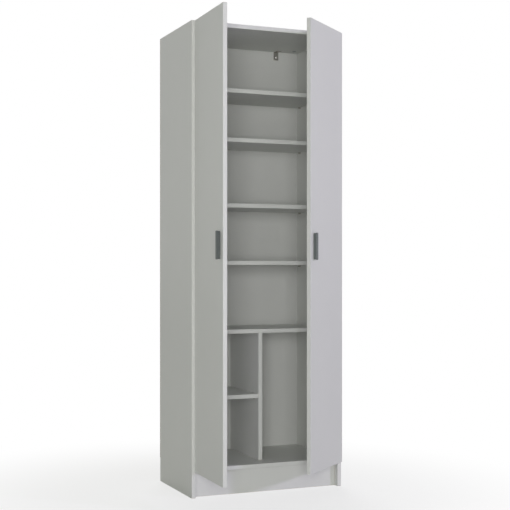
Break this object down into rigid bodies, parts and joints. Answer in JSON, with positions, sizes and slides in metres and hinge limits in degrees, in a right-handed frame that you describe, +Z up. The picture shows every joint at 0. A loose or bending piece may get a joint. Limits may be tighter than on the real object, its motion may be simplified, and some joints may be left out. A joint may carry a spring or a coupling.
{
  "type": "storage cupboard",
  "caption": "Tall storage cupboard with hinged doors, adjustable shelves, a divided lower bay, moulded pulls and a recessed plinth.",
  "frame": {"origin": "middle of the plinth board's underside, on the floor", "axes": "+X to the right seen from the front, +Y towards the back, +Z up; the doors are at the front, towards -Y"},
  "size_m": [0.6418, 0.6974, 1.8],
  "materials": {
    "melamine_board": "light grey melamine-faced particle board, satin",
    "back_board": "thin fibreboard, matt light grey lacquer inside, bare brown outside",
    "handle_plastic": "dark grey moulded plastic, satin",
    "nickelled_steel": "pressed steel, bright nickel plated",
    "bright_steel": "drawn steel, bright",
    "zinc_cam": "die-cast zinc alloy, as cast",
    "beech_dowel": "bare beech, fluted",
    "bumper_rubber": "clear soft plastic pad"
  },
  "bodies": {
    "carcass": {"back_nails": "bright_steel", "bottom_panel": "melamine_board", "cam_bolts": "nickelled_steel", "cam_locks": "zinc_cam", "divider": "melamine_board", "half_shelf": "melamine_board", "half_shelf_pins": "nickelled_steel", "left_arm_pins": "nickelled_steel", "left_arm_screws": "nickelled_steel", "left_hinge_arms": "nickelled_steel", "left_hinge_plates": "nickelled_steel", "left_plate_screws": "nickelled_steel", "left_side_panel": "melamine_board", "lower_back": "back_board", "middle_shelf": "melamine_board", "plinth_board": "melamine_board", "right_arm_pins": "nickelled_steel", "right_arm_screws": "nickelled_steel", "right_hinge_arms": "nickelled_steel", "right_hinge_plates": "nickelled_steel", "right_plate_screws": "nickelled_steel", "right_side_panel": "melamine_board", "shelf_1": "melamine_board", "shelf_1_pins": "nickelled_steel", "shelf_2": "melamine_board", "shelf_2_pins": "nickelled_steel", "shelf_3": "melamine_board", "shelf_3_pins": "nickelled_steel", "shelf_4": "melamine_board", "shelf_4_pins": "nickelled_steel", "top_panel": "melamine_board", "upper_back": "back_board", "wall_bracket_screws": "nickelled_steel", "wall_brackets": "nickelled_steel", "wooden_dowels": "beech_dowel"},
    "left_link_set": {"left_hinge_links": "nickelled_steel"},
    "left_door_leaf": {"left_door": "melamine_board", "left_handle": "handle_plastic", "left_handle_screws": "nickelled_steel", "left_hinge_cups": "nickelled_steel", "left_cup_pins": "nickelled_steel", "left_cup_screws": "nickelled_steel", "left_door_bumpers": "bumper_rubber"},
    "right_link_set": {"right_hinge_links": "nickelled_steel"},
    "right_door_leaf": {"right_door": "melamine_board", "right_handle": "handle_plastic", "right_handle_screws": "nickelled_steel", "right_hinge_cups": "nickelled_steel", "right_cup_pins": "nickelled_steel", "right_cup_screws": "nickelled_steel", "right_door_bumpers": "bumper_rubber"}
  },
  "joints": [
    {"name": "left_link_swing", "type": "hinge", "parent": "carcass", "child": "left_link_set", "pos_m": [-0.2875, -0.0045, 0], "axis": [0, 0, -1], "range_deg": [-0.9, 22.95]},
    {"name": "left_door_swing", "type": "hinge", "parent": "left_link_set", "child": "left_door_leaf", "pos_m": [-0.29092, -0.04318, 0], "axis": [0, 0, -1], "range_deg": [-114.5, 4.25]},
    {"name": "right_link_swing", "type": "hinge", "parent": "carcass", "child": "right_link_set", "pos_m": [0.2875, -0.0045, 0], "axis": [0, 0, 1], "range_deg": [-13.63, 10.23]},
    {"name": "right_door_swing", "type": "hinge", "parent": "right_link_set", "child": "right_door_leaf", "pos_m": [0.29935, -0.04148, 0], "axis": [0, 0, 1], "range_deg": [-50.88, 67.88]}
  ],
  "couplings": [
    {"joint": "left_link_swing", "follows": "left_door_swing", "ratio": -0.2},
    {"joint": "right_link_swing", "follows": "right_door_swing", "ratio": -0.2}
  ]
}
